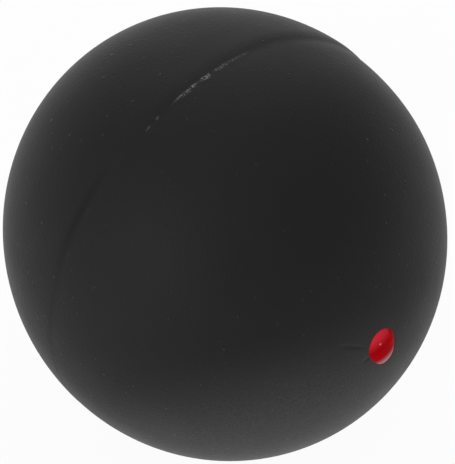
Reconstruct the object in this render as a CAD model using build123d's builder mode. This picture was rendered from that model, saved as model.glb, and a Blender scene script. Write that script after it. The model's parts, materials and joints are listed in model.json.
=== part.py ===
"""A squash ball: two moulded rubber halves, the cement that bonds them and a painted dot.

Millimetres. The origin is the ball's centre and +Z is up. The seam lies in the XZ plane, so the
halves turn about the Y axis: the front half, with the dot near its pole, is on the -Y side.
"""
import os
from math import asin, degrees, sqrt

from build123d import *

# The ball
BALL_DIAMETER = 40.0
WALL = 5.0

# The seam: the rear half rolls down to it over a short shoulder, the front half over a long gentle one
SEAM_DEPTH = 0.15
REAR_SHOULDER = 1.4
FRONT_SHOULDER = 5.0

# The cement between the flat lands, and the bead of it inside the hollow
BOND_FILM = 0.2
INNER_BEVEL = 0.5
BEAD_BULGE = 0.35

# The dimple near the front pole, how far off it lies towards +X and +Z, its lip, and the paint's rise
DIMPLE_OFF_X = 0.55
DIMPLE_OFF_Z = 0.78
DIMPLE_DIAMETER = 3.7
DIMPLE_DEPTH = 0.35
LIP_RADIUS = 0.25
DOT_CROWN = 0.3

ball_radius = BALL_DIAMETER / 2
hollow_radius = ball_radius - WALL
land_height = BOND_FILM / 2
land_outer = ball_radius - SEAM_DEPTH
land_inner = hollow_radius + INNER_BEVEL
bevel_height = land_height + INNER_BEVEL
bevel_inner = sqrt(hollow_radius**2 - bevel_height**2)

# The dimple is part of a sphere that meets the ball's surface at the mouth
mouth_radius = DIMPLE_DIAMETER / 2
mouth_height = sqrt(ball_radius**2 - mouth_radius**2)
dimple_radius = (mouth_radius**2 + DIMPLE_DEPTH**2) / (2 * DIMPLE_DEPTH)
dimple_centre = mouth_height - DIMPLE_DEPTH + dimple_radius

# The lip's centre lies one lip radius inside the ball and one outside the dimple's sphere
lip_to_ball_centre = ball_radius - LIP_RADIUS
lip_to_dimple_centre = dimple_radius + LIP_RADIUS
lip_height = (lip_to_ball_centre**2 - lip_to_dimple_centre**2 + dimple_centre**2) / (2 * dimple_centre)
lip_distance = sqrt(lip_to_ball_centre**2 - lip_height**2)

# The paint runs up the dimple to where its lip begins
paint_half_angle = degrees(asin(lip_distance / lip_to_dimple_centre))

# Sections are drawn with x out from the pole axis and y from the seam towards the half's pole
rear_plane = Plane.XY
front_plane = Plane(origin=(0, 0, 0), x_dir=(1, 0, 0), z_dir=(0, 0, -1))

# The dot's own section plane holds the line from the ball's centre through the middle of the dimple
dimple_forward = sqrt(ball_radius**2 - DIMPLE_OFF_X**2 - DIMPLE_OFF_Z**2)
dot_axis = Axis((0, 0, 0), (DIMPLE_OFF_X, -dimple_forward, DIMPLE_OFF_Z))
dot_across = dot_axis.direction.cross(Vector(0, 0, 1))
dot_plane = Plane(origin=(0, 0, 0), x_dir=dot_across, z_dir=dot_across.cross(dot_axis.direction))


def half_shell_section(plane, shoulder):
    """One half's section: outer skin, shoulder, flat land, inner bevel and hollow."""
    outer_angle = degrees(asin((land_height + shoulder) / ball_radius))
    inner_angle = degrees(asin(bevel_height / hollow_radius))
    with BuildSketch(plane) as section:
        with BuildLine():
            skin = CenterArc((0, 0), ball_radius, outer_angle, 90 - outer_angle)
            rolled = TangentArc(skin @ 0, (land_outer, land_height), tangent=-(skin % 0))
            land = Line(rolled @ 1, (land_inner, land_height))
            Line(land @ 1, (bevel_inner, bevel_height))
            hollow = CenterArc((0, 0), hollow_radius, inner_angle, 90 - inner_angle)
            Line(hollow @ 1, skin @ 1)
        make_face()
    return section.sketch


# Rear half
with BuildPart() as rear_half_shell:
    revolve(half_shell_section(rear_plane, REAR_SHOULDER), axis=Axis.Y)

# Front half, with the dimple sunk in it and the dimple's lip rounded
with BuildPart() as front_half_shell:
    revolve(half_shell_section(front_plane, FRONT_SHOULDER), axis=Axis.Y)
    with Locations(dot_axis.direction * dimple_centre):
        Sphere(dimple_radius, mode=Mode.SUBTRACT)
    lip = front_half_shell.edges().filter_by(GeomType.CIRCLE).sort_by(dot_axis)[-1]
    fillet(lip, LIP_RADIUS)

# Cement: a flat film between the lands that widens into the bevels and bulges into the hollow
with BuildPart() as seam_bond:
    with BuildSketch(rear_plane):
        with BuildLine():
            Polyline(
                (bevel_inner, bevel_height),
                (land_inner, land_height),
                (land_outer, land_height),
                (land_outer, -land_height),
                (land_inner, -land_height),
                (bevel_inner, -bevel_height),
            )
            ThreePointArc(
                (bevel_inner, -bevel_height),
                (bevel_inner - BEAD_BULGE, 0),
                (bevel_inner, bevel_height),
            )
        make_face()
    revolve(axis=Axis.Y)

# Paint: a dab that fills the dimple and domes above the ball
with BuildPart() as red_dot:
    with BuildSketch(dot_plane):
        with BuildLine():
            bottom = CenterArc((0, dimple_centre), dimple_radius, -90, paint_half_angle)
            middle = Line(bottom @ 0, (0, ball_radius + DOT_CROWN))
            TangentArc(middle @ 1, bottom @ 1, tangent=(1, 0))
        make_face()
    revolve(axis=dot_axis)

pieces = {
    "front_half_shell": front_half_shell,
    "rear_half_shell": rear_half_shell,
    "seam_bond": seam_bond,
    "red_dot": red_dot,
}
os.makedirs("parts", exist_ok=True)
for name, piece in pieces.items():
    piece.part.label = name
    export_step(piece.part, f"parts/{name}.step")
    print(f"{name}: {piece.part.volume:.3f} mm3")
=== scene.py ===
"""A squash ball as it was made and used: two buffed rubber halves, their cement seam and a paint dot.

Metres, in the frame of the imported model. The origin is the ball's centre and +Z is up. The seam lies
near the XZ plane, and the dot near the pole of the front half, which faces -Y.
"""
import json
import logging
import math
from dataclasses import dataclass, field
from enum import Enum
from typing import Any

import bmesh
import bpy
import numpy as np
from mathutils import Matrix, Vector, noise


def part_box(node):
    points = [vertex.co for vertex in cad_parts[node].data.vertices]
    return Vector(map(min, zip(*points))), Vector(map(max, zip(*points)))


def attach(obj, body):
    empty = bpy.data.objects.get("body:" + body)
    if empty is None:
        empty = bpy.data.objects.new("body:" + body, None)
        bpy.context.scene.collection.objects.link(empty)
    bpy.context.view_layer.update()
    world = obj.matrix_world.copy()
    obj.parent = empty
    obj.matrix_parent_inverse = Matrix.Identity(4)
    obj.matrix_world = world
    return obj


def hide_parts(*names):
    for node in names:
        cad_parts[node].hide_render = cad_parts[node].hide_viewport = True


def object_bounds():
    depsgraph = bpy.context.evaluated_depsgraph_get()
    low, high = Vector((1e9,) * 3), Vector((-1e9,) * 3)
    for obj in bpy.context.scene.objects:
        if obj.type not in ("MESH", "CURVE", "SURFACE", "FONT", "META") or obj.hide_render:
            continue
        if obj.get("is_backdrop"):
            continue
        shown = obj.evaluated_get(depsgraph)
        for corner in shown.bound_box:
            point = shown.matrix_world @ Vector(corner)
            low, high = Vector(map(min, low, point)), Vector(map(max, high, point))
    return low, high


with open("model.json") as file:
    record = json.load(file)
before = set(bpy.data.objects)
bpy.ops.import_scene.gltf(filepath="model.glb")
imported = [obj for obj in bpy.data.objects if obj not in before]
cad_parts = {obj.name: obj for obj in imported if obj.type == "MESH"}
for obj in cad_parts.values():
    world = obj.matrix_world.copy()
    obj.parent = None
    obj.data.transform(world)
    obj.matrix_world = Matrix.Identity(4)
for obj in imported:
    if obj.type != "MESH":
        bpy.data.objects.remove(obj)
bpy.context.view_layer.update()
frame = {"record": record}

MM = 0.001
BODY = "root"
PHOTO_SIZE = (455, 464)
QUARTER_TURN = math.pi / 2
FULL_TURN = 2 * math.pi
# Edges that turn by more than this stay sharp in the shading
SHARP_EDGE = math.radians(50)
# The power that gives a bell curve a flat top
FLAT_TOP = 4

logging.basicConfig(level=logging.INFO, format="%(name)s: %(message)s")
log = logging.getLogger("squash_ball")


class Half(Enum):
    """Which moulded half: the value is the side of the seam that its pole lies on."""

    FRONT = 1
    REAR = -1


def linear(hex_colour: str) -> tuple[float, float, float, float]:
    """Turns an sRGB colour into the linear one that shaders take.

    Args:
        hex_colour: The colour as six hex digits after a hash.

    Returns:
        Linear red, green, blue and an alpha of 1.
    """
    shares = [int(hex_colour[i:i + 2], 16) / 255 for i in (1, 3, 5)]
    bent = [s / 12.92 if s <= 0.04045 else ((s + 0.055) / 1.055) ** 2.4 for s in shares]
    return (*bent, 1.0)


def add_node(
    tree: bpy.types.NodeTree, kind: str, inputs: dict[Any, Any] | None = None, **settings: Any
) -> bpy.types.Node:
    """Adds a node with its settings, and fills or links its inputs.

    Args:
        tree: The node tree that the node joins.
        kind: Blender's name of the node's type.
        inputs: Socket name or number to a value, or to the output socket that feeds it.
        settings: Properties of the node itself, such as its operation.

    Returns:
        The new node.
    """
    node = tree.nodes.new(kind)
    for name, value in settings.items():
        setattr(node, name, value)
    for name, value in (inputs or {}).items():
        if isinstance(value, bpy.types.NodeSocket):
            tree.links.new(value, node.inputs[name])
        else:
            node.inputs[name].default_value = value
    return node


def fresh_material(name: str) -> tuple[bpy.types.Material, bpy.types.NodeTree]:
    """Makes a material with an empty node tree.

    Args:
        name: The material's name.

    Returns:
        The material and its tree.
    """
    material = bpy.data.materials.new(name)
    material.use_nodes = True
    material.node_tree.nodes.clear()
    return material, material.node_tree


def smooth_step(low: float, high: float, value: np.ndarray) -> np.ndarray:
    """Rises from 0 at low to 1 at high along a smooth curve."""
    share = np.clip((value - low) / (high - low), 0, 1)
    return share * share * (3 - 2 * share)


def graded(reach: float, first: float, growth: float, widest: float) -> np.ndarray:
    """Distances from 0 to reach whose steps start small and grow.

    Args:
        reach: The last distance.
        first: The first step.
        growth: What each step is times the one before.
        widest: The widest step.

    Returns:
        The distances, with 0 and reach among them.
    """
    marks, step = [0.0], first
    while marks[-1] < reach:
        marks.append(marks[-1] + step)
        step = min(step * growth, widest)
    return np.array(marks) * (reach / marks[-1])


def grain(points: np.ndarray, size: float, shift: float = 0.0) -> np.ndarray:
    """Smooth noise from -1 to 1 at each point.

    Args:
        points: Places, with three numbers in the last axis.
        size: How far apart the noise's lumps are.
        shift: Moves the noise, so that two uses of it differ.

    Returns:
        One value for each place.
    """
    flat = points.reshape(-1, 3) / size + shift
    values = [noise.noise(Vector(p)) for p in flat.tolist()]
    return np.array(values).reshape(points.shape[:-1])


def loft(name: str, grid: np.ndarray, looped: bool = False) -> bpy.types.Mesh:
    """Joins rings of points into a closed mesh.

    Args:
        name: The mesh's name.
        grid: Rings by places round each ring by three. Unless looped, the first and the last ring
            are one point each, the poles.
        looped: Joins the last ring to the first.

    Returns:
        The mesh, smooth shaded, with its faces outwards.
    """
    rings, round_count = grid.shape[:2]
    if looped:
        places = grid.reshape(-1, 3)
        index = np.arange(rings * round_count).reshape(rings, round_count)
        index = np.vstack([index, index[:1]])
    else:
        places = np.vstack([grid[0, :1], grid[1:-1].reshape(-1, 3), grid[-1, :1]])
        index = np.zeros((rings, round_count), int)
        index[1:-1] = 1 + np.arange((rings - 2) * round_count).reshape(rings - 2, round_count)
        index[-1] = len(places) - 1
    ahead = np.roll(index, -1, axis=1)
    corners = np.stack([index[:-1], ahead[:-1], ahead[1:], index[1:]], axis=-1).reshape(-1, 4)
    faces = [list(dict.fromkeys(face)) for face in corners.tolist()]
    mesh = bpy.data.meshes.new(name)
    mesh.from_pydata(places.tolist(), [], faces)
    work = bmesh.new()
    work.from_mesh(mesh)
    bmesh.ops.recalc_face_normals(work, faces=work.faces)
    work.to_mesh(mesh)
    work.free()
    mesh.shade_smooth()
    mesh.set_sharp_from_angle(angle=SHARP_EDGE)
    return mesh


@dataclass(frozen=True)
class Scuff:
    """A stretch of the seam where the flash was torn off or rubbed pale, placed in degrees round the seam."""

    middle: float
    half_width: float
    strength: float
    lap: float = 0.0

    def at(self, turn: np.ndarray) -> np.ndarray:
        """How torn the seam is at each angle round it, in degrees from +X towards +Z."""
        away = (turn - self.middle + 180) % 360 - 180
        return self.strength * np.exp(-((away / self.half_width) ** FLAT_TOP))


@dataclass(frozen=True)
class Crease:
    """A short crease in the rubber that runs straight out from the dot, at a turn in degrees round it."""

    turn: float
    start: float
    end: float
    width: float
    depth: float

    def at(self, distance: np.ndarray, turn: np.ndarray) -> np.ndarray:
        """How deep the crease is.

        Args:
            distance: Distances along the surface from the dot's middle.
            turn: Angles round it in radians.

        Returns:
            The depth.
        """
        aside = distance * np.sin(turn - math.radians(self.turn))
        ahead = distance * np.cos(turn - math.radians(self.turn))
        share = np.clip((ahead - self.start) / (self.end - self.start), 0, 1)
        return self.depth * np.sin(math.pi * share) * np.exp(-((aside / self.width) ** 2))


@dataclass(frozen=True)
class BallForm:
    """The shape that both halves, the seam and the dot share, as this ball came out of its mould."""

    radius: float = frame["record"]["mounts"][0]["dims"]["r_mm"] * MM
    wall: float = 5.0 * MM
    # The outline in the photograph is a little longer one way than across it
    out_of_round: float = 0.31 * MM
    long_axis: tuple[float, float, float] = (-0.114, -0.744, -0.658)
    short_axis: tuple[float, float, float] = (0.874, -0.390, 0.290)
    # The seam isn't quite a plane: it lies a little to the rear, and wanders three times round
    seam_rearward: float = 0.14 * MM
    wander: float = 0.19 * MM
    wander_waves: int = 3
    wander_phase: float = 26.0
    film: float = 0.2 * MM
    # The rear half stands proud at the seam: the skin steps down there and comes back over the front half
    step_height: float = 0.16 * MM
    step_start: float = -1.4 * MM
    step_end: float = 0.45 * MM
    step_recovery: float = 9.0 * MM
    # The step is fullest at one place round the seam and eases off towards the far side
    step_full_turn: float = 65.0
    step_ease: float = 0.85
    # A fine groove is left along it, except where the flash was torn off level
    groove_depth: float = 0.035 * MM
    groove_rear: float = 0.7 * MM
    groove_front: float = 1.5 * MM
    # Painted shade darkens the skin along the seam's rear edge for a stretch of it
    seam_shade_middle: float = 145.0
    seam_shade_half_width: float = 13.0
    seam_shade_away: float = -0.6 * MM
    seam_shade_width: float = 0.45 * MM
    inner_bevel: float = 0.5 * MM
    bead_bulge: float = 0.35 * MM
    # The dot was dabbed on by hand: each wave's count, share and turn make its outline an egg
    dot_reach: float = 1.73 * MM
    egg_waves: tuple[tuple[int, float, float], ...] = ((2, 0.17, 106.0), (3, 0.04, 45.0), (4, 0.03, 15.0))
    dimple_depth: float = 0.3 * MM
    dimple_margin: float = 0.1 * MM
    lip_softness: float = 0.07
    # The rings of the front half lean towards the dot between these latitudes, in radians
    lean_start: float = 0.3
    lean_end: float = 1.2
    # A long and a short crease in the rubber beside the dot
    creases: tuple[Crease, ...] = (
        Crease(150.0, 2.0 * MM, 5.4 * MM, 0.2 * MM, 0.115 * MM),
        Crease(188.0, 1.2 * MM, 2.5 * MM, 0.22 * MM, 0.07 * MM),
    )
    # The seam is torn in many short stretches, and their flash laps in full where it is half torn
    full_lap: float = 0.5
    scuffs: tuple[Scuff, ...] = (
        Scuff(102.3, 3.8, 0.75),
        Scuff(102.2, 0.6, 1.0, 0.14 * MM),
        Scuff(100.4, 0.7, 1.0, 0.2 * MM),
        Scuff(96.4, 1.3, 1.0, 0.4 * MM),
        Scuff(94.9, 0.4, 0.9, 0.15 * MM),
        Scuff(91.2, 2.3, 0.5, 0.24 * MM),
        Scuff(86.0, 3.8, 0.25, 0.24 * MM),
        Scuff(112.3, 0.5, 0.35),
        Scuff(115.7, 0.8, 0.28, 0.1 * MM),
        Scuff(141.2, 0.8, 0.05, 0.1 * MM),
        Scuff(154.0, 1.3, 0.06, 0.1 * MM),
    )

    @property
    def hollow(self) -> float:
        """The radius of the hollow."""
        return self.radius - self.wall

    def dot_middle(self) -> tuple[float, float]:
        """Finds where the dot is.

        Returns:
            How far its middle lies from the pole towards +X and +Z.
        """
        low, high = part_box("red_dot")
        middle = (low + high) / 2
        return middle.x, middle.z

    def scuffed(self, turn: np.ndarray) -> np.ndarray:
        """How torn the seam is, from 0 to 1, at each angle round the pole axis in radians."""
        return np.max([scuff.at(np.degrees(turn)) for scuff in self.scuffs], axis=0)

    def lapped(self, turn: np.ndarray) -> np.ndarray:
        """How far the torn flash laps over the front edge.

        Args:
            turn: Angles round the pole axis in radians.

        Returns:
            The lap at each angle.
        """
        degrees = np.degrees(turn)
        laps = [scuff.lap * np.minimum(1, scuff.at(degrees) / self.full_lap) for scuff in self.scuffs]
        return np.max(laps, axis=0)

    def dot_edge(self, turn: np.ndarray) -> np.ndarray:
        """The distance from the dot's middle to the edge of its paint at each angle round it."""
        waves = [share * np.cos(count * (turn - math.radians(at))) for count, share, at in self.egg_waves]
        return self.dot_reach * (1 + sum(waves))

    def dimple(self, distance: np.ndarray, turn: np.ndarray) -> np.ndarray:
        """How deep the dimple is at distances from the dot's middle and angles round it, with a round lip."""
        inside = 1 - (distance / (self.dot_edge(turn) + self.dimple_margin)) ** 2
        return self.dimple_depth * self.lip_softness * np.logaddexp(0, inside / self.lip_softness)

    def creased(self, distance: np.ndarray, turn: np.ndarray) -> np.ndarray:
        """How deep the creases are at distances from the dot's middle and angles round it."""
        return sum(crease.at(distance, turn) for crease in self.creases)

    def dip(self, along: np.ndarray, turn: np.ndarray) -> np.ndarray:
        """How far the skin lies low near the seam.

        Args:
            along: Distances along the skin from the seam, positive towards the front pole.
            turn: Angles round the pole axis in radians.

        Returns:
            The depth of the step and the groove together.
        """
        fullness = 1 - self.step_ease * (1 - np.cos(turn - math.radians(self.step_full_turn))) / 2
        down = smooth_step(self.step_start * fullness, self.step_end, along)
        back = smooth_step(self.step_end, self.step_recovery, along)
        step = self.step_height * fullness**2 * (down - back)
        sinking = smooth_step(-self.groove_rear * fullness, 0, along)
        rising = smooth_step(0, self.groove_front, along)
        groove = self.groove_depth * fullness * (sinking - rising) * (1 - self.scuffed(turn))
        return step + groove

    def painted_seam_shade(self, along: np.ndarray, turn: np.ndarray) -> np.ndarray:
        """How much painted shade darkens the skin near the seam.

        Args:
            along: Distances along the skin from the seam, positive towards the front pole.
            turn: Angles round the pole axis in radians.

        Returns:
            0 for none up to 1.
        """
        aside = (np.degrees(turn) - self.seam_shade_middle) / self.seam_shade_half_width
        across = (along - self.seam_shade_away) / self.seam_shade_width
        return np.exp(-(aside**FLAT_TOP) - across**2)

    def place(self, out: np.ndarray, forward: np.ndarray, turn: np.ndarray) -> np.ndarray:
        """Puts points of the true ball where this one has them.

        Args:
            out: Distances from the pole axis.
            forward: Distances from the seam's plane, towards the front pole.
            turn: Angles round the pole axis in radians, from +X towards +Z.

        Returns:
            The points, with three numbers in the last axis.
        """
        reach = np.hypot(out, forward)
        latitude = np.arctan2(forward, out)
        to_pole = 1 - np.abs(latitude) / QUARTER_TURN
        waves = np.cos(self.wander_waves * turn - math.radians(self.wander_phase))
        shift = self.wander * waves - self.seam_rearward
        latitude = latitude + shift / self.radius * to_pole**2
        ways = np.stack([
            np.cos(latitude) * np.cos(turn),
            -np.sin(latitude),
            np.cos(latitude) * np.sin(turn),
        ], axis=-1)
        off_x, off_z = self.dot_middle()
        lean = np.array([off_x, 0, off_z]) / self.radius
        ways = ways + smooth_step(self.lean_start, self.lean_end, latitude)[..., None] * lean
        ways /= np.linalg.norm(ways, axis=-1, keepdims=True)
        oval = (ways @ np.array(self.long_axis)) ** 2 - (ways @ np.array(self.short_axis)) ** 2
        return ways * (reach * (1 + self.out_of_round / self.radius * oval))[..., None]


@dataclass(frozen=True)
class BuffedRubber:
    """Black butyl rubber, moulded and then tumbled matte.

    Carbon black makes it nearly colourless. Buffing leaves a fine grain that spreads the highlight
    wide, so the ball is darkest where it faces the eye and pales towards its edge, where bloom and
    dust catch the light. Its lower front has a thin pale film that is partly dust and partly painted
    light from the floor below.
    """

    deep: str = "#151515"
    pale: str = "#1b1b1b"
    # The colour of the painted shade beside the seam's rear edge
    painted_seam_shade: str = "#0e0e0e"
    torn: str = "#8a8986"
    # Pale dust, for the specks and for the film that is partly painted light from the floor below
    dust: str = "#b9b9b8"
    ior: float = 1.52
    shine: float = 0.2
    roughness: float = 0.6
    roughness_spread: float = 0.08
    bloom: float = 0.13
    bloom_roughness: float = 0.25
    # The moulded skin is mottled, and buffing gave it a fine grain
    mottle_size: float = 5.0 * MM
    grain_size: float = 0.26 * MM
    grain_depth: float = 0.036 * MM
    # Torn rubber is pale in crumbs: bare and full are the noise's levels where they start and are whole
    crumb_size: float = 0.18 * MM
    crumb_bare: float = 0.54
    crumb_full: float = 0.7
    # Crumbs of dust, whole within a core that is a share of their radius
    speck_spacing: float = 0.85 * MM
    speck_radius: float = 0.17 * MM
    speck_core: float = 0.3
    speck_rise: float = 0.09 * MM
    speck_share: float = 0.04
    # A thin pale film on one side, from a share of the radius along its way: partly dust and partly painted
    # light from the floor below
    dust_and_painted_light_way: tuple[float, float, float] = (-0.23, -0.68, -0.69)
    dust_and_painted_light_from: float = 0.45
    dust_and_painted_light_share: float = 0.145
    film_patch: float = 0.2 * MM
    film_bare: float = 0.0
    film_full: float = 0.8

    def material(self, ball_radius: float) -> bpy.types.Material:
        """Builds the material.

        Args:
            ball_radius: How far the surface is from the origin.

        Returns:
            The material.
        """
        material, tree = fresh_material("buffed_black_rubber")
        where = add_node(tree, "ShaderNodeTexCoord").outputs["Object"]
        mottle = add_node(tree, "ShaderNodeTexNoise",
                          {"Vector": where, "Scale": 1 / self.mottle_size, "Detail": 3.0, "Roughness": 0.6})
        tone = add_node(tree, "ShaderNodeMix",
                        {"Factor": mottle.outputs["Fac"], "A": linear(self.deep), "B": linear(self.pale)},
                        data_type="RGBA")
        # Painted shade: the skin is darker beside the seam's rear edge for a stretch
        seam_shade = add_node(tree, "ShaderNodeAttribute", attribute_name="seam_shade")
        painted_seam_shade = add_node(
            tree, "ShaderNodeMix",
            {"Factor": seam_shade.outputs["Fac"], "A": tone.outputs["Result"], "B": linear(self.painted_seam_shade)},
            data_type="RGBA")
        # A thin patchy pale film, from nothing at its side's border to its middle: partly dust and partly
        # painted light from the floor below
        towards = add_node(tree, "ShaderNodeVectorMath", {0: where, 1: self.dust_and_painted_light_way},
                           operation="DOT_PRODUCT")
        side = add_node(tree, "ShaderNodeMapRange",
                        {"Value": towards.outputs["Value"], "From Min": self.dust_and_painted_light_from * ball_radius,
                         "From Max": ball_radius, "To Max": self.dust_and_painted_light_share}, interpolation_type="SMOOTHSTEP")
        lumps = add_node(tree, "ShaderNodeTexNoise",
                         {"Vector": where, "Scale": 1 / self.film_patch, "Detail": 2.0, "Roughness": 0.7})
        patch = add_node(
            tree, "ShaderNodeMapRange",
            {"Value": lumps.outputs["Fac"], "From Min": self.film_bare, "From Max": self.film_full})
        film = add_node(tree, "ShaderNodeMath", {0: side.outputs["Result"], 1: patch.outputs["Result"]},
                        operation="MULTIPLY")
        # A crumb of dust wherever the surface passes close to a scattered point, each with its own size
        cells = add_node(tree, "ShaderNodeTexVoronoi", {"Vector": where, "Scale": 1 / self.speck_spacing})
        chance = add_node(tree, "ShaderNodeSeparateColor", {"Color": cells.outputs["Color"]})
        nearness = add_node(tree, "ShaderNodeMath",
                            {0: cells.outputs["Distance"], 1: chance.outputs["Red"]}, operation="DIVIDE")
        speck_size = self.speck_radius / self.speck_spacing
        speck = add_node(tree, "ShaderNodeMapRange",
                         {"Value": nearness.outputs["Value"], "From Min": speck_size,
                          "From Max": self.speck_core * speck_size})
        specks = add_node(tree, "ShaderNodeMath", {0: speck.outputs["Result"], 1: chance.outputs["Green"]},
                          operation="MULTIPLY")
        # Dust specks and the pale film, which is partly painted light from the floor below
        dust_and_painted_light = add_node(tree, "ShaderNodeMath",
                         {0: specks.outputs["Value"], 1: self.speck_share, 2: film.outputs["Value"]},
                         operation="MULTIPLY_ADD")
        dust_and_painted_light_colour = add_node(
            tree, "ShaderNodeMix",
            {"Factor": dust_and_painted_light.outputs["Value"], "A": painted_seam_shade.outputs["Result"], "B": linear(self.dust)},
            data_type="RGBA")
        # Torn rubber along the seam is pale in crumbs
        torn = add_node(tree, "ShaderNodeAttribute", attribute_name="scuff")
        crumbs = add_node(tree, "ShaderNodeTexNoise",
                          {"Vector": where, "Scale": 1 / self.crumb_size, "Detail": 2.0, "Roughness": 0.7})
        patchy = add_node(
            tree, "ShaderNodeMapRange",
            {"Value": crumbs.outputs["Fac"], "From Min": self.crumb_bare, "From Max": self.crumb_full})
        pale = add_node(tree, "ShaderNodeMath", {0: torn.outputs["Fac"], 1: patchy.outputs["Result"]},
                        operation="MULTIPLY")
        colour = add_node(
            tree, "ShaderNodeMix",
            {"Factor": pale.outputs["Value"], "A": dust_and_painted_light_colour.outputs["Result"], "B": linear(self.torn)},
            data_type="RGBA")
        fine = add_node(tree, "ShaderNodeTexNoise",
                        {"Vector": where, "Scale": 1 / self.grain_size, "Detail": 2.0, "Roughness": 0.6})
        height = add_node(tree, "ShaderNodeMath",
                          {0: specks.outputs["Value"], 1: self.speck_rise / self.grain_depth,
                           2: fine.outputs["Fac"]}, operation="MULTIPLY_ADD")
        bump = add_node(tree, "ShaderNodeBump",
                        {"Height": height.outputs["Value"], "Distance": self.grain_depth, "Strength": 1.0})
        rough = add_node(tree, "ShaderNodeMapRange",
                         {"Value": mottle.outputs["Fac"], "To Min": self.roughness - self.roughness_spread,
                          "To Max": self.roughness + self.roughness_spread})
        shader = add_node(tree, "ShaderNodeBsdfPrincipled",
                          {"Base Color": colour.outputs["Result"], "Roughness": rough.outputs["Result"],
                           "IOR": self.ior, "Specular IOR Level": self.shine, "Sheen Weight": self.bloom,
                           "Sheen Roughness": self.bloom_roughness, "Normal": bump.outputs["Normal"]})
        add_node(tree, "ShaderNodeOutputMaterial", {"Surface": shader.outputs["BSDF"]})
        return material


@dataclass(frozen=True)
class CuredCement:
    """Rubber cement, cured in the joint and buffed off level with the ball.

    Clean, it looks like the rubber beside it. Where the flash was torn off it is crumbly and pale.
    """

    clean: str = "#181818"
    torn: str = "#b0afac"
    crumb_size: float = 0.16 * MM
    crumb_bare: float = 0.42
    crumb_full: float = 0.7
    crumb_depth: float = 0.05 * MM
    ior: float = 1.52
    shine: float = 0.2
    roughness: float = 0.6
    bloom: float = 0.08
    bloom_roughness: float = 0.3

    def material(self) -> bpy.types.Material:
        """Builds the material.

        Returns:
            The material.
        """
        material, tree = fresh_material("cured_rubber_cement")
        where = add_node(tree, "ShaderNodeTexCoord").outputs["Object"]
        crumbs = add_node(tree, "ShaderNodeTexNoise",
                          {"Vector": where, "Scale": 1 / self.crumb_size, "Detail": 3.0, "Roughness": 0.7})
        torn = add_node(tree, "ShaderNodeAttribute", attribute_name="scuff")
        patchy = add_node(
            tree, "ShaderNodeMapRange",
            {"Value": crumbs.outputs["Fac"], "From Min": self.crumb_bare, "From Max": self.crumb_full})
        pale = add_node(tree, "ShaderNodeMath", {0: torn.outputs["Fac"], 1: patchy.outputs["Result"]},
                        operation="MULTIPLY")
        colour = add_node(tree, "ShaderNodeMix",
                          {"Factor": pale.outputs["Value"], "A": linear(self.clean), "B": linear(self.torn)},
                          data_type="RGBA")
        bump = add_node(tree, "ShaderNodeBump",
                        {"Height": pale.outputs["Value"], "Distance": self.crumb_depth, "Strength": 1.0})
        shader = add_node(tree, "ShaderNodeBsdfPrincipled",
                          {"Base Color": colour.outputs["Result"], "Roughness": self.roughness,
                           "IOR": self.ior, "Specular IOR Level": self.shine, "Sheen Weight": self.bloom,
                           "Sheen Roughness": self.bloom_roughness, "Normal": bump.outputs["Normal"]})
        add_node(tree, "ShaderNodeOutputMaterial", {"Surface": shader.outputs["BSDF"]})
        return material


@dataclass(frozen=True)
class RedEnamel:
    """Red enamel paint, dabbed on thick and left to dry.

    It is a strong red with a soft satin gloss. Painted light and shade cross it: it is lighter and pinker
    at its top, with a painted highlight there, and darker through its middle and along its right side. A
    painted highlight, a reflection of the floor, runs along its lower edge.
    """

    # The lit red with a painted highlight and the shaded red, mixed by the painted shade across the dab
    light: str = "#dd303f"
    deep: str = "#b1000a"
    # A painted glint on the brush's nib
    nib_and_glint: str = "#f0989c"
    # A painted highlight along the lower edge, a reflection of the floor
    dust: str = "#f0d0d4"
    highlight_share: float = 0.44
    ior: float = 1.5
    shine: float = 0.006
    roughness: float = 0.25
    roughness_spread: float = 0.06
    streak_size: float = 0.5 * MM
    streak_share: float = 0.06

    def material(self) -> bpy.types.Material:
        """Builds the material.

        Returns:
            The material.
        """
        material, tree = fresh_material("red_enamel_paint")
        where = add_node(tree, "ShaderNodeTexCoord").outputs["Object"]
        streaks = add_node(tree, "ShaderNodeTexNoise",
                           {"Vector": where, "Scale": 1 / self.streak_size, "Detail": 2.0})
        # Painted light and shade across the dab, with a few streaks of real tone
        painted_dome_shade = add_node(tree, "ShaderNodeAttribute", attribute_name="painted_dome_shade")
        depth = add_node(tree, "ShaderNodeMix",
                         {"Factor": self.streak_share, "A": painted_dome_shade.outputs["Fac"], "B": streaks.outputs["Fac"]})
        red = add_node(tree, "ShaderNodeMix",
                       {"Factor": depth.outputs["Result"], "A": linear(self.light), "B": linear(self.deep)},
                       data_type="RGBA")
        # A painted glint on the brush's nib
        nib_and_glint = add_node(tree, "ShaderNodeAttribute", attribute_name="nib_and_glint")
        painted_glint = add_node(tree, "ShaderNodeMix",
                          {"Factor": nib_and_glint.outputs["Fac"], "A": red.outputs["Result"], "B": linear(self.nib_and_glint)},
                          data_type="RGBA")
        # A painted highlight, a reflection of the floor, along the lower edge
        lower = add_node(tree, "ShaderNodeAttribute", attribute_name="painted_edge_highlight")
        film = add_node(tree, "ShaderNodeMath", {0: lower.outputs["Fac"], 1: self.highlight_share},
                        operation="MULTIPLY")
        colour = add_node(
            tree, "ShaderNodeMix",
            {"Factor": film.outputs["Value"], "A": painted_glint.outputs["Result"], "B": linear(self.dust)},
            data_type="RGBA")
        rough = add_node(tree, "ShaderNodeMapRange",
                         {"Value": streaks.outputs["Fac"], "To Min": self.roughness - self.roughness_spread,
                          "To Max": self.roughness + self.roughness_spread})
        shader = add_node(tree, "ShaderNodeBsdfPrincipled",
                          {"Base Color": colour.outputs["Result"], "Roughness": rough.outputs["Result"],
                           "IOR": self.ior, "Specular IOR Level": self.shine})
        add_node(tree, "ShaderNodeOutputMaterial", {"Surface": shader.outputs["BSDF"]})
        return material


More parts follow.
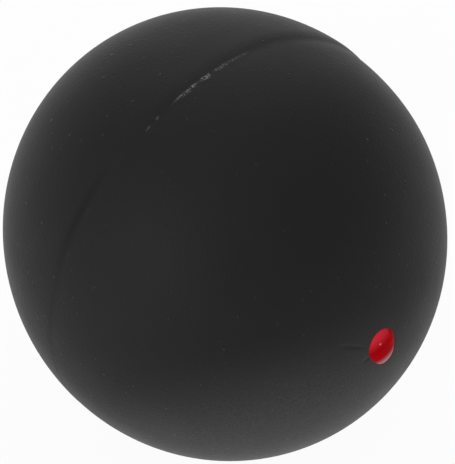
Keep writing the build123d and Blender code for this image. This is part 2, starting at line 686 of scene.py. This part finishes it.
@dataclass(frozen=True)
class WhiteBoard:
    """Matt white studio board, which the eye sees as plain white with a faint shadow."""

    colour: str = "#f2f2f2"
    glow_share: float = 0.95

    def material(self) -> bpy.types.Material:
        """Builds the material.

        Returns:
            The material.
        """
        material, tree = fresh_material("matt_white_board")
        board = add_node(tree, "ShaderNodeBsdfDiffuse", {"Color": linear(self.colour)})
        white = add_node(tree, "ShaderNodeEmission", {"Color": linear("#ffffff"), "Strength": 1.0})
        ray = add_node(tree, "ShaderNodeLightPath")
        seen = add_node(tree, "ShaderNodeMath",
                        {0: ray.outputs["Is Camera Ray"], 1: ray.outputs["Is Glossy Ray"]},
                        operation="MAXIMUM")
        seen = add_node(tree, "ShaderNodeMath",
                        {0: seen.outputs["Value"], 1: ray.outputs["Is Transmission Ray"]},
                        operation="MAXIMUM")
        share = add_node(tree, "ShaderNodeMath", {0: seen.outputs["Value"], 1: self.glow_share},
                         operation="MULTIPLY")
        mixed = add_node(
            tree, "ShaderNodeMixShader",
            {"Fac": share.outputs["Value"], 1: board.outputs["BSDF"], 2: white.outputs["Emission"]})
        add_node(tree, "ShaderNodeOutputMaterial", {"Surface": mixed.outputs["Shader"]})
        return material


def dressed(mesh: bpy.types.Mesh, material: bpy.types.Material, node: str) -> bpy.types.Object:
    """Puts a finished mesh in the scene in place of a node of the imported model.

    Args:
        mesh: The piece's mesh, whose name the piece takes.
        material: Its finish.
        node: The node that it stands for.

    Returns:
        The piece, riding on the ball's one body.
    """
    piece = bpy.data.objects.new(mesh.name, mesh)
    bpy.context.scene.collection.objects.link(piece)
    mesh.materials.append(material)
    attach(piece, BODY)
    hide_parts(node)
    log.info("%s: %d faces, stands for %s", piece.name, len(mesh.polygons), node)
    return piece


def mark(mesh: bpy.types.Mesh, name: str, grid: np.ndarray, looped: bool = False) -> None:
    """Stores one number for each point of a lofted mesh.

    Args:
        mesh: A mesh that loft made.
        name: The attribute's name.
        grid: The numbers, ring by ring.
        looped: Whether the mesh has no poles.
    """
    values = grid.ravel() if looped else np.concatenate([grid[0, :1], grid[1:-1].ravel(), grid[-1, :1]])
    attribute = mesh.attributes.new(name, "FLOAT", "POINT")
    attribute.data.foreach_set("value", values.astype(np.float32))


@dataclass
class HalfShell:
    """One moulded half: outer skin, rolled edge, flat land, inner bevel and hollow."""

    form: BallForm
    half: Half
    round_count: int = 600
    fine_step: float = 0.04 * MM
    wide_step: float = 0.6 * MM
    step_growth: float = 1.12
    dimple_step: float = 0.08 * MM
    dimple_reach: float = 5.6 * MM
    hollow_rings: int = 22
    land_rings: int = 3
    torn_width: float = 0.2 * MM

    def skin_marks(self) -> np.ndarray:
        """Spaces the rings of the skin, closest at the seam and round the dot.

        Returns:
            Distances along the skin from the seam's edge to the pole.
        """
        form = self.form
        whole = form.radius * (QUARTER_TURN - form.film / 2 / form.radius)
        if self.half is Half.REAR:
            return graded(whole, self.fine_step, self.step_growth, self.wide_step)
        plain = graded(whole - self.dimple_reach, self.fine_step, self.step_growth, self.wide_step)
        near = np.linspace(whole - self.dimple_reach, whole, round(self.dimple_reach / self.dimple_step))
        return np.concatenate([plain, near[1:]])

    def build(self) -> bpy.types.Mesh:
        """Builds the half.

        Returns:
            Its mesh, with how torn it is and how much painted shade it has stored at each point.
        """
        form, front = self.form, self.half is Half.FRONT
        turn = np.arange(self.round_count) / self.round_count * FULL_TURN
        along = self.skin_marks()[::-1, None]
        rounds = np.broadcast_to(turn, (len(along), self.round_count))
        from_seam = form.film / 2 + along
        latitude = from_seam / form.radius
        low = form.dip(self.half.value * from_seam, rounds)
        # How much painted shade lies beside the seam's rear edge
        painted_seam_shade = form.painted_seam_shade(self.half.value * from_seam, rounds)
        torn = np.zeros(rounds.shape)
        if front:
            from_dot = (QUARTER_TURN - latitude) * form.radius
            low = low + form.dimple(from_dot, rounds) + form.creased(from_dot, rounds)
            torn = np.exp(-((along / self.torn_width) ** 2)) * form.scuffed(rounds)
        reach = form.radius - low
        skin = np.stack([reach * np.cos(latitude), reach * np.sin(latitude)], axis=-1)
        inner = self.inner_section()[:, None, :]
        section = np.vstack([skin, np.broadcast_to(inner, (len(inner), self.round_count, 2))])
        grid = form.place(section[..., 0], self.half.value * section[..., 1],
                          np.broadcast_to(turn, section.shape[:2]))
        mesh = loft(f"{self.half.name.lower()}_half_buffed", grid)
        for name, value in (("scuff", torn), ("seam_shade", painted_seam_shade)):
            mark(mesh, name, np.vstack([value, np.zeros((len(inner), self.round_count))]))
        return mesh

    def inner_section(self) -> np.ndarray:
        """Draws the section inside the ball.

        Returns:
            Distances out and up from the land's outer edge to the hollow's pole.
        """
        form = self.form
        height = form.film / 2
        edge = form.radius - form.dip(self.half.value * height, 0.0)
        land = np.linspace(edge, form.hollow + form.inner_bevel, self.land_rings + 2)[1:]
        start = math.asin((height + form.inner_bevel) / form.hollow)
        angles = np.linspace(start, QUARTER_TURN, self.hollow_rings)
        hollow = form.hollow * np.stack([np.cos(angles), np.sin(angles)], axis=1)
        return np.vstack([np.stack([land, np.full(len(land), height)], axis=1), hollow])

    def dress(self, material: bpy.types.Material) -> bpy.types.Object:
        """Builds the half and dresses it in the rubber."""
        return dressed(self.build(), material, f"{self.half.name.lower()}_half_shell")


@dataclass
class SeamBond:
    """The cement between the lands, with its bead in the hollow and torn flash lapped over the front edge."""

    form: BallForm
    torn_span: tuple[float, float] = (82.0, 118.0)
    torn_step: float = 0.04 * MM
    plain_count: int = 760
    face_rings: int = 11
    bead_rings: int = 9
    buried: float = 0.5 * MM
    # Torn flash rises and laps by noise about a middle share, and tucks in at its front edge
    flash_rise: float = 0.09 * MM
    rise_middle: float = 0.35
    flash_tuck: float = 0.03 * MM
    tuck_power: int = 8
    lap_middle: float = 0.7
    crumb_size: float = 0.22 * MM
    drift_size: float = 0.5 * MM
    drift_shift: float = 40.0

    def turns(self) -> np.ndarray:
        """Spaces the sections round the seam, closest where the flash is torn.

        Returns:
            Angles round the pole axis in radians.
        """
        start, end = (math.radians(angle) for angle in self.torn_span)
        torn = np.arange(start, end, self.torn_step / self.form.radius)
        plain = np.linspace(end, start + FULL_TURN, self.plain_count, endpoint=False)
        return np.concatenate([torn, plain])

    def section(self) -> np.ndarray:
        """Draws the clean film's section.

        Returns:
            Distances out and forward, from the outer face's front edge round through the bead.
        """
        form = self.form
        height, bevel = form.film / 2, form.film / 2 + form.inner_bevel
        inner = math.sqrt(form.hollow**2 - bevel**2)
        edge, land = form.radius - form.dip(0.0, 0.0), form.hollow + form.inner_bevel
        corners = [(edge, across * height) for across in np.linspace(1, -1, self.face_rings)]
        corners += [(edge - self.buried, -height), (land, -height)]
        for side in np.linspace(-1, 1, self.bead_rings):
            corners.append((inner - form.bead_bulge * (1 - side * side), bevel * side))
        corners += [(land, height), (edge - self.buried, height)]
        return np.array(corners)

    def build(self) -> bpy.types.Mesh:
        """Builds the ring.

        Returns:
            Its mesh, with how torn it is stored at each point.
        """
        form, turn, section = self.form, self.turns(), self.section()
        rounds = np.broadcast_to(turn, (len(section), len(turn)))
        out = np.broadcast_to(section[:, :1], rounds.shape).copy()
        forward = np.broadcast_to(section[:, 1:], rounds.shape).copy()
        face = slice(0, self.face_rings)
        across = np.linspace(1, -1, self.face_rings)[:, None]
        torn = form.scuffed(rounds[face])
        clean = form.place(out[face], forward[face], rounds[face])
        drift = grain(clean, self.drift_size, self.drift_shift)
        forward[face] += form.lapped(rounds[face]) * ((1 + across) / 2) ** 2 * (self.lap_middle + drift)
        skin = form.radius - form.dip(forward[face], rounds[face])
        crumbs = grain(form.place(skin, forward[face], rounds[face]), self.crumb_size)
        rise = torn * self.flash_rise * (self.rise_middle + crumbs) * (1 - across**2)
        tuck = torn * self.flash_tuck * np.clip(across, 0, 1) ** self.tuck_power
        out[face] = skin + rise - tuck
        mesh = loft("seam_cement", form.place(out, forward, rounds), looped=True)
        scuff = np.zeros(rounds.shape)
        scuff[face] = torn * np.sqrt((1 + across) / 2)
        mark(mesh, "scuff", scuff, looped=True)
        return mesh

    def dress(self, material: bpy.types.Material) -> bpy.types.Object:
        """Builds the ring and dresses it in the cement."""
        return dressed(self.build(), material, "seam_bond")


@dataclass
class PaintDot:
    """The paint: a thick dab that fills its dimple and domes above the ball.

    The brush left a nib on it, and a painted glint lies on the nib.
    """

    form: BallForm
    round_count: int = 240
    rings: int = 48
    crown: float = 0.3 * MM
    fullness: float = 0.8
    sunk: float = 0.03 * MM
    nib_height: float = 0.05 * MM
    nib_radius: float = 0.08 * MM
    nib_away: float = 1.0 * MM
    nib_turn: float = 123.0
    # Painted light and shade across the dab: lighter at its top, darker downwards and darker still along its
    # right side
    shade_turn: float = 107.0
    shade_start: float = 1.8 * MM
    shade_end: float = 0.4 * MM
    side_shade_start: float = 0.45 * MM
    side_shade_end: float = 0.8 * MM
    # A painted highlight, a reflection of the floor, along its lower edge
    highlight_turn: float = 287.0
    highlight_start: float = 0.7 * MM
    highlight_end: float = 1.95 * MM

    def build(self) -> bpy.types.Mesh:
        """Builds the dab.

        Returns:
            Its mesh, with the pool, the nib and the lower edge stored at each point.
        """
        form = self.form
        turn = np.arange(self.round_count) / self.round_count * FULL_TURN
        share = np.sin(np.linspace(0, QUARTER_TURN, self.rings))[:, None]
        rounds = np.broadcast_to(turn, (self.rings, self.round_count))
        distance = share * form.dot_edge(rounds)
        floor = form.radius - form.dimple(distance, rounds)
        thick = (self.crown + form.dimple_depth) * (1 - share**2) ** self.fullness
        at_nib = math.radians(self.nib_turn)
        from_nib = np.hypot(distance * np.cos(rounds) - self.nib_away * math.cos(at_nib),
                            distance * np.sin(rounds) - self.nib_away * math.sin(at_nib))
        # The nib's shape, which also carries its painted glint
        nib_and_glint = np.exp(-((from_nib / self.nib_radius) ** 2))
        above = floor + thick + self.nib_height * nib_and_glint
        reach = np.vstack([above, (floor - self.sunk)[::-1]])
        away = np.vstack([distance, distance[::-1]]) / form.radius
        grid = form.place(reach * np.sin(away), reach * np.cos(away), np.vstack([rounds, rounds]))
        mesh = loft("dot_enamel", grid)
        # Painted shade: darker downwards and along the right side
        painted_dome_shade = np.maximum(
            smooth_step(self.shade_start, self.shade_end,
                        distance * np.cos(rounds - math.radians(self.shade_turn))),
            smooth_step(self.side_shade_start, self.side_shade_end, distance * np.cos(rounds)),
        )
        # Painted highlight along the lower edge
        painted_edge_highlight = smooth_step(self.highlight_start, self.highlight_end,
                                 distance * np.cos(rounds - math.radians(self.highlight_turn)))
        for name, value in (("painted_dome_shade", painted_dome_shade), ("nib_and_glint", nib_and_glint), ("painted_edge_highlight", painted_edge_highlight)):
            mark(mesh, name, np.vstack([value, 0 * value]))
        return mesh

    def dress(self, material: bpy.types.Material) -> bpy.types.Object:
        """Builds the dab and dresses it in the paint."""
        return dressed(self.build(), material, "red_dot")


@dataclass(frozen=True)
class Softbox:
    """A square studio softbox that faces the ball, placed by two angles in degrees."""

    name: str
    azimuth: float
    elevation: float
    distance: float
    side: float
    watts: float

    def hang(self) -> bpy.types.Object:
        """Adds the light.

        Returns:
            The light's object.
        """
        lamp = bpy.data.lights.new(self.name, "AREA")
        lamp.shape = "SQUARE"
        lamp.size = self.side
        lamp.energy = self.watts
        light = bpy.data.objects.new(self.name, lamp)
        way = direction(self.azimuth, self.elevation)
        light.location = way * self.distance
        light.rotation_mode = "QUATERNION"
        light.rotation_quaternion = way.to_track_quat("Z", "Y")
        bpy.context.scene.collection.objects.link(light)
        return light


def direction(azimuth: float, elevation: float) -> Vector:
    """The way to something seen from the ball: azimuth 0 is -Y and 90 is +X, both in degrees."""
    turn, rise = math.radians(azimuth), math.radians(elevation)
    return Vector((math.sin(turn) * math.cos(rise), -math.cos(turn) * math.cos(rise), math.sin(rise)))


@dataclass
class Studio:
    """The white board, the softboxes and the camera."""

    form: BallForm
    board: WhiteBoard = field(default_factory=WhiteBoard)
    board_side: float = 6.0
    world_colour: str = "#ffffff"
    world_strength: float = 0.5
    softboxes: tuple[Softbox, ...] = (
        Softbox("rear_softbox", 139.0, 35.0, 0.9, 0.9, 2.4),
        Softbox("left_softbox", -86.0, 25.0, 0.9, 0.7, 2.75),
        Softbox("top_softbox", -41.0, 75.0, 0.9, 0.7, 0.65),
    )
    # The camera's place, as two angles in degrees and a distance
    azimuth: float = -41.1
    elevation: float = 44.0
    distance_in_radii: float = 16.0
    # The ball's outline in the photograph: a circle of this radius round this pixel
    outline_radius: float = 224.67
    outline_middle: tuple[float, float] = (225.09, 234.17)

    def lay_board(self, height: float) -> bpy.types.Object:
        """Adds the board under the ball.

        Args:
            height: Where its top lies.

        Returns:
            The board.
        """
        half = self.board_side / 2
        mesh = bpy.data.meshes.new("studio_board")
        corners = [(x, y, height) for x, y in ((-half, -half), (half, -half), (half, half), (-half, half))]
        mesh.from_pydata(corners, [], [(0, 1, 2, 3)])
        mesh.materials.append(self.board.material())
        board = bpy.data.objects.new("studio_board", mesh)
        bpy.context.scene.collection.objects.link(board)
        board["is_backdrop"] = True
        return board

    def light(self) -> None:
        """Hangs the softboxes and sets the even light of the room."""
        for softbox in self.softboxes:
            softbox.hang()
        world = bpy.data.worlds.new("studio_room")
        world.use_nodes = True
        world.node_tree.nodes.clear()
        room = add_node(world.node_tree, "ShaderNodeBackground",
                        {"Color": linear(self.world_colour), "Strength": self.world_strength})
        add_node(world.node_tree, "ShaderNodeOutputWorld", {"Surface": room.outputs["Background"]})
        bpy.context.scene.world = world

    def aim_camera(self) -> bpy.types.Object:
        """Adds the camera at the photograph's view, with the ball where the photograph has it.

        Returns:
            The camera.
        """
        lens = bpy.data.cameras.new("camera")
        away = self.distance_in_radii
        tall = max(PHOTO_SIZE)
        focal_pixels = self.outline_radius * math.sqrt(away**2 - 1)
        lens.lens = lens.sensor_width * focal_pixels / tall
        back = direction(self.azimuth, self.elevation)
        turned = back.to_track_quat("Z", "Y")
        pixel = away * self.form.radius / focal_pixels
        right = (PHOTO_SIZE[0] / 2 - self.outline_middle[0]) * pixel
        up = (self.outline_middle[1] - PHOTO_SIZE[1] / 2) * pixel
        camera = bpy.data.objects.new("camera", lens)
        camera.rotation_mode = "QUATERNION"
        camera.rotation_quaternion = turned
        camera.location = back * (away * self.form.radius) + turned @ Vector((right, up, 0))
        bpy.context.scene.collection.objects.link(camera)
        bpy.context.scene.camera = camera
        return camera


def main() -> None:
    """Builds the ball's pieces, the studio and the camera."""
    bpy.context.scene.view_settings.view_transform = "Standard"
    form = BallForm()
    rubber = BuffedRubber().material(form.radius)
    for half in Half:
        HalfShell(form, half).dress(rubber)
    SeamBond(form).dress(CuredCement().material())
    PaintDot(form).dress(RedEnamel().material())
    studio = Studio(form)
    low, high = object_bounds()
    studio.lay_board(low.z)
    studio.light()
    studio.aim_camera()


if __name__ == "__main__":
    main()
